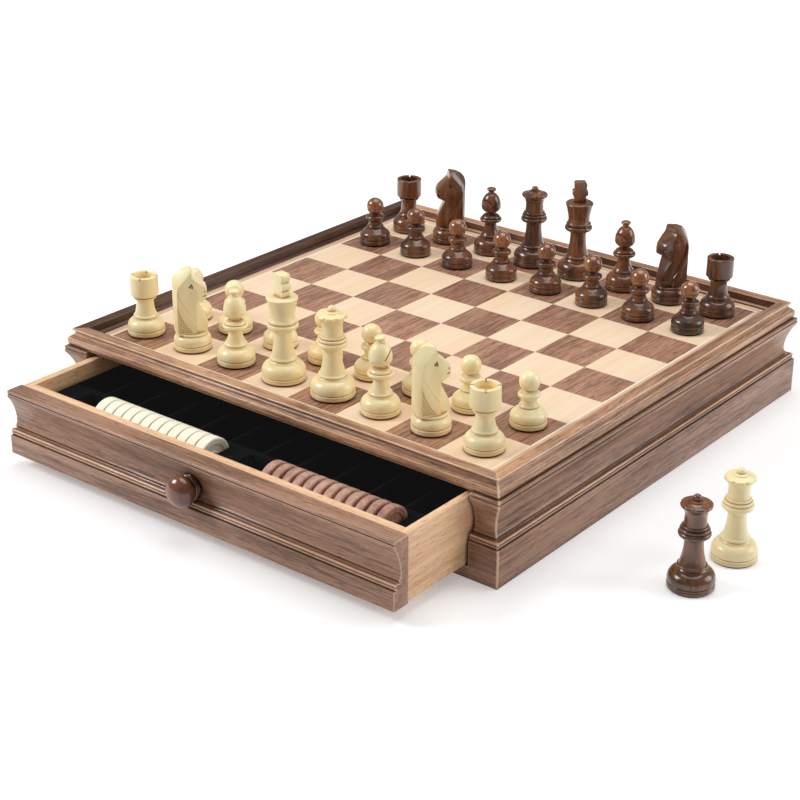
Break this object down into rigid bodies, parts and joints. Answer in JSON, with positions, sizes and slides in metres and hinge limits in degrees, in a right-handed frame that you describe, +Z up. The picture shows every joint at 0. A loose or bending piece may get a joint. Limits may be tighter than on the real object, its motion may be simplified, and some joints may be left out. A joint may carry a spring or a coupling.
{
  "type": "chess box with drawer",
  "caption": "Low square walnut chess and draughts box: moulded case, mitred rim round a veneered board, lined drawer with a turned knob, chessmen and draughts.",
  "frame": {"origin": "on the table under the middle of the square case", "axes": "+Z up, -Y towards the drawer's front, +X to the right of someone who faces the drawer; the drawer stands open"},
  "size_m": [0.4883, 0.4647, 0.141],
  "materials": {
    "case_walnut": "satin walnut, grain along each moulding",
    "light_veneer": "satin maple veneer",
    "dark_veneer": "satin walnut veneer with straight grain",
    "drawer_wood": "plain pale hardwood",
    "lining_velour": "black velour",
    "knob_wood": "turned, glossy lacquer",
    "screw_steel": "zinc-plated",
    "light_draught_wood": "matt pale wood",
    "dark_draught_wood": "matt reddish brown wood",
    "boxwood": "satin lacquered pale wood with a black felt foot",
    "stained_wood": "glossy dark stained wood with a black felt foot"
  },
  "bodies": {
    "box": {"case_front": "case_walnut", "case_right": "case_walnut", "case_back": "case_walnut", "case_left": "case_walnut", "case_bottom": "drawer_wood", "rim_front": "case_walnut", "rim_right": "case_walnut", "rim_back": "case_walnut", "rim_left": "case_walnut", "board_panel": "drawer_wood", "board_border": "case_walnut", "board_stringing": "light_veneer", "light_squares": "light_veneer", "dark_squares": "dark_veneer", "drawer_runners": "drawer_wood"},
    "drawer": {"drawer_front": "case_walnut", "drawer_box_front": "drawer_wood", "drawer_left_side": "drawer_wood", "drawer_right_side": "drawer_wood", "drawer_back": "drawer_wood", "drawer_bottom": "drawer_wood", "drawer_lining": "lining_velour", "drawer_knob": "knob_wood", "knob_screw": "screw_steel"},
    "light_draughts": {"light_draughts": "light_draught_wood"},
    "dark_draughts": {"dark_draughts": "dark_draught_wood"},
    "light_rook_left": {"light_rook_left": "boxwood"},
    "light_knight_left": {"light_knight_left": "boxwood"},
    "light_bishop_left": {"light_bishop_left": "boxwood"},
    "light_king": {"light_king": "boxwood"},
    "light_queen": {"light_queen": "boxwood"},
    "light_bishop_right": {"light_bishop_right": "boxwood"},
    "light_knight_right": {"light_knight_right": "boxwood"},
    "light_rook_right": {"light_rook_right": "boxwood"},
    "light_pawn_1": {"light_pawn_1": "boxwood"},
    "light_pawn_2": {"light_pawn_2": "boxwood"},
    "light_pawn_3": {"light_pawn_3": "boxwood"},
    "light_pawn_4": {"light_pawn_4": "boxwood"},
    "light_pawn_5": {"light_pawn_5": "boxwood"},
    "light_pawn_6": {"light_pawn_6": "boxwood"},
    "light_pawn_7": {"light_pawn_7": "boxwood"},
    "light_pawn_8": {"light_pawn_8": "boxwood"},
    "spare_light_queen": {"spare_light_queen": "boxwood"},
    "dark_rook_left": {"dark_rook_left": "stained_wood"},
    "dark_knight_left": {"dark_knight_left": "stained_wood"},
    "dark_bishop_left": {"dark_bishop_left": "stained_wood"},
    "dark_queen": {"dark_queen": "stained_wood"},
    "dark_king": {"dark_king": "stained_wood"},
    "dark_bishop_right": {"dark_bishop_right": "stained_wood"},
    "dark_knight_right": {"dark_knight_right": "stained_wood"},
    "dark_rook_right": {"dark_rook_right": "stained_wood"},
    "dark_pawn_1": {"dark_pawn_1": "stained_wood"},
    "dark_pawn_2": {"dark_pawn_2": "stained_wood"},
    "dark_pawn_3": {"dark_pawn_3": "stained_wood"},
    "dark_pawn_4": {"dark_pawn_4": "stained_wood"},
    "dark_pawn_5": {"dark_pawn_5": "stained_wood"},
    "dark_pawn_6": {"dark_pawn_6": "stained_wood"},
    "dark_pawn_7": {"dark_pawn_7": "stained_wood"},
    "dark_pawn_8": {"dark_pawn_8": "stained_wood"},
    "spare_dark_queen": {"spare_dark_queen": "stained_wood"}
  },
  "joints": [
    {"name": "drawer_slide", "type": "slide", "parent": "box", "child": "drawer", "axis": [0, -1, 0], "range_m": [-0.071, 0.219]},
    {"name": "light_draughts_lift", "type": "slide", "parent": "drawer", "child": "light_draughts", "axis": [0, 0, 1], "range_m": [0, 0.04]},
    {"name": "dark_draughts_lift", "type": "slide", "parent": "drawer", "child": "dark_draughts", "axis": [0, 0, 1], "range_m": [0, 0.04]},
    {"name": "light_rook_left_lift", "type": "slide", "parent": "box", "child": "light_rook_left", "axis": [0, 0, 1], "range_m": [0, 0.09]},
    {"name": "light_knight_left_lift", "type": "slide", "parent": "box", "child": "light_knight_left", "axis": [0, 0, 1], "range_m": [0, 0.09]},
    {"name": "light_bishop_left_lift", "type": "slide", "parent": "box", "child": "light_bishop_left", "axis": [0, 0, 1], "range_m": [0, 0.09]},
    {"name": "light_king_lift", "type": "slide", "parent": "box", "child": "light_king", "axis": [0, 0, 1], "range_m": [0, 0.09]},
    {"name": "light_queen_lift", "type": "slide", "parent": "box", "child": "light_queen", "axis": [0, 0, 1], "range_m": [0, 0.09]},
    {"name": "light_bishop_right_lift", "type": "slide", "parent": "box", "child": "light_bishop_right", "axis": [0, 0, 1], "range_m": [0, 0.09]},
    {"name": "light_knight_right_lift", "type": "slide", "parent": "box", "child": "light_knight_right", "axis": [0, 0, 1], "range_m": [0, 0.09]},
    {"name": "light_rook_right_lift", "type": "slide", "parent": "box", "child": "light_rook_right", "axis": [0, 0, 1], "range_m": [0, 0.09]},
    {"name": "light_pawn_1_lift", "type": "slide", "parent": "box", "child": "light_pawn_1", "axis": [0, 0, 1], "range_m": [0, 0.09]},
    {"name": "light_pawn_2_lift", "type": "slide", "parent": "box", "child": "light_pawn_2", "axis": [0, 0, 1], "range_m": [0, 0.09]},
    {"name": "light_pawn_3_lift", "type": "slide", "parent": "box", "child": "light_pawn_3", "axis": [0, 0, 1], "range_m": [0, 0.09]},
    {"name": "light_pawn_4_lift", "type": "slide", "parent": "box", "child": "light_pawn_4", "axis": [0, 0, 1], "range_m": [0, 0.09]},
    {"name": "light_pawn_5_lift", "type": "slide", "parent": "box", "child": "light_pawn_5", "axis": [0, 0, 1], "range_m": [0, 0.09]},
    {"name": "light_pawn_6_lift", "type": "slide", "parent": "box", "child": "light_pawn_6", "axis": [0, 0, 1], "range_m": [0, 0.09]},
    {"name": "light_pawn_7_lift", "type": "slide", "parent": "box", "child": "light_pawn_7", "axis": [0, 0, 1], "range_m": [0, 0.09]},
    {"name": "light_pawn_8_lift", "type": "slide", "parent": "box", "child": "light_pawn_8", "axis": [0, 0, 1], "range_m": [0, 0.09]},
    {"name": "spare_light_queen_lift", "type": "slide", "parent": "box", "child": "spare_light_queen", "axis": [0, 0, 1], "range_m": [0, 0.09]},
    {"name": "dark_rook_left_lift", "type": "slide", "parent": "box", "child": "dark_rook_left", "axis": [0, 0, 1], "range_m": [0, 0.09]},
    {"name": "dark_knight_left_lift", "type": "slide", "parent": "box", "child": "dark_knight_left", "axis": [0, 0, 1], "range_m": [0, 0.09]},
    {"name": "dark_bishop_left_lift", "type": "slide", "parent": "box", "child": "dark_bishop_left", "axis": [0, 0, 1], "range_m": [0, 0.09]},
    {"name": "dark_queen_lift", "type": "slide", "parent": "box", "child": "dark_queen", "axis": [0, 0, 1], "range_m": [0, 0.09]},
    {"name": "dark_king_lift", "type": "slide", "parent": "box", "child": "dark_king", "axis": [0, 0, 1], "range_m": [0, 0.09]},
    {"name": "dark_bishop_right_lift", "type": "slide", "parent": "box", "child": "dark_bishop_right", "axis": [0, 0, 1], "range_m": [0, 0.09]},
    {"name": "dark_knight_right_lift", "type": "slide", "parent": "box", "child": "dark_knight_right", "axis": [0, 0, 1], "range_m": [0, 0.09]},
    {"name": "dark_rook_right_lift", "type": "slide", "parent": "box", "child": "dark_rook_right", "axis": [0, 0, 1], "range_m": [0, 0.09]},
    {"name": "dark_pawn_1_lift", "type": "slide", "parent": "box", "child": "dark_pawn_1", "axis": [0, 0, 1], "range_m": [0, 0.09]},
    {"name": "dark_pawn_2_lift", "type": "slide", "parent": "box", "child": "dark_pawn_2", "axis": [0, 0, 1], "range_m": [0, 0.09]},
    {"name": "dark_pawn_3_lift", "type": "slide", "parent": "box", "child": "dark_pawn_3", "axis": [0, 0, 1], "range_m": [0, 0.09]},
    {"name": "dark_pawn_4_lift", "type": "slide", "parent": "box", "child": "dark_pawn_4", "axis": [0, 0, 1], "range_m": [0, 0.09]},
    {"name": "dark_pawn_5_lift", "type": "slide", "parent": "box", "child": "dark_pawn_5", "axis": [0, 0, 1], "range_m": [0, 0.09]},
    {"name": "dark_pawn_6_lift", "type": "slide", "parent": "box", "child": "dark_pawn_6", "axis": [0, 0, 1], "range_m": [0, 0.09]},
    {"name": "dark_pawn_7_lift", "type": "slide", "parent": "box", "child": "dark_pawn_7", "axis": [0, 0, 1], "range_m": [0, 0.09]},
    {"name": "dark_pawn_8_lift", "type": "slide", "parent": "box", "child": "dark_pawn_8", "axis": [0, 0, 1], "range_m": [0, 0.09]},
    {"name": "spare_dark_queen_lift", "type": "slide", "parent": "box", "child": "spare_dark_queen", "axis": [0, 0, 1], "range_m": [0, 0.09]}
  ]
}
